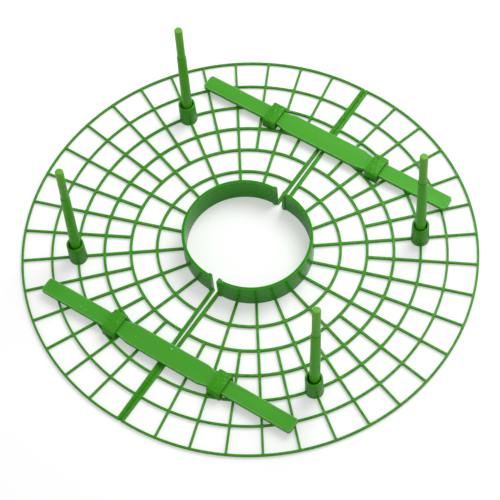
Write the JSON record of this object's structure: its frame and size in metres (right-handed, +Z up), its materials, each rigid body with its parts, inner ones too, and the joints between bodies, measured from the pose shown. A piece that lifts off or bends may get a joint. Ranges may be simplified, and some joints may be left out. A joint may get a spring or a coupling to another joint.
{
  "type": "strawberry plant support",
  "caption": "Round split grid held together by flat bars in sleeves, with a plain collar round the plant's crown and stepped stakes standing in cups.",
  "frame": {"origin": "on the bench surface, on the split between the halves, under the middle of the collar", "axes": "+Z up along the collar, with the grid lying on the bench as pictured; +X along the bars, towards the half whose sleeves stand closest to the wide stretch of the bars; +Y along the split"},
  "size_m": [0.3086, 0.2998, 0.1038],
  "materials": {
    "grid_plastic": "green moulded polypropylene with a soft shine",
    "bar_plastic": "green moulded polypropylene, slightly duller on its flat face",
    "stake_plastic": "green moulded polypropylene with a soft shine"
  },
  "bodies": {
    "half_left": {"grid_half_left": "grid_plastic"},
    "half_right": {"grid_half_right": "grid_plastic"},
    "bar_back": {"locking_bar_back": "bar_plastic"},
    "bar_front": {"locking_bar_front": "bar_plastic"},
    "tube_left_back": {"stake_tube_left_back": "stake_plastic"},
    "tube_left_front": {"stake_tube_left_front": "stake_plastic"},
    "tube_right_back": {"stake_tube_right_back": "stake_plastic"},
    "tube_right_front": {"stake_tube_right_front": "stake_plastic"},
    "peg_left_back": {"stake_peg_left_back": "stake_plastic"},
    "peg_left_front": {"stake_peg_left_front": "stake_plastic"},
    "peg_right_back": {"stake_peg_right_back": "stake_plastic"},
    "peg_right_front": {"stake_peg_right_front": "stake_plastic"}
  },
  "joints": [
    {"name": "bar_back_slide", "type": "slide", "parent": "half_left", "child": "bar_back", "axis": [1, 0, 0], "range_m": [-0.001, 0]},
    {"name": "bar_front_slide", "type": "slide", "parent": "half_left", "child": "bar_front", "axis": [1, 0, 0], "range_m": [-0.001, 0]},
    {"name": "right_half_slide", "type": "slide", "parent": "half_left", "child": "half_right", "axis": [1, 0, 0], "range_m": [0, 0.07]},
    {"name": "tube_left_back_lift", "type": "slide", "parent": "half_left", "child": "tube_left_back", "axis": [0.0262, 0, 0.9997], "range_m": [0, 0.02]},
    {"name": "peg_left_back_lift", "type": "slide", "parent": "tube_left_back", "child": "peg_left_back", "axis": [0.0262, 0, 0.9997], "range_m": [0, 0.014]},
    {"name": "tube_left_front_lift", "type": "slide", "parent": "half_left", "child": "tube_left_front", "axis": [0.0079, 0.0288, 0.9996], "range_m": [0, 0.02]},
    {"name": "peg_left_front_lift", "type": "slide", "parent": "tube_left_front", "child": "peg_left_front", "axis": [0.0079, 0.0288, 0.9996], "range_m": [0, 0.014]},
    {"name": "tube_right_back_lift", "type": "slide", "parent": "half_right", "child": "tube_right_back", "axis": [0.0105, -0.0183, 0.9998], "range_m": [0, 0.02]},
    {"name": "peg_right_back_lift", "type": "slide", "parent": "tube_right_back", "child": "peg_right_back", "axis": [0.0105, -0.0183, 0.9998], "range_m": [0, 0.014]},
    {"name": "tube_right_front_lift", "type": "slide", "parent": "half_right", "child": "tube_right_front", "axis": [0.0183, 0.0445, 0.9988], "range_m": [0, 0.02]},
    {"name": "peg_right_front_lift", "type": "slide", "parent": "tube_right_front", "child": "peg_right_front", "axis": [0.0183, 0.0445, 0.9988], "range_m": [0, 0.014]}
  ]
}
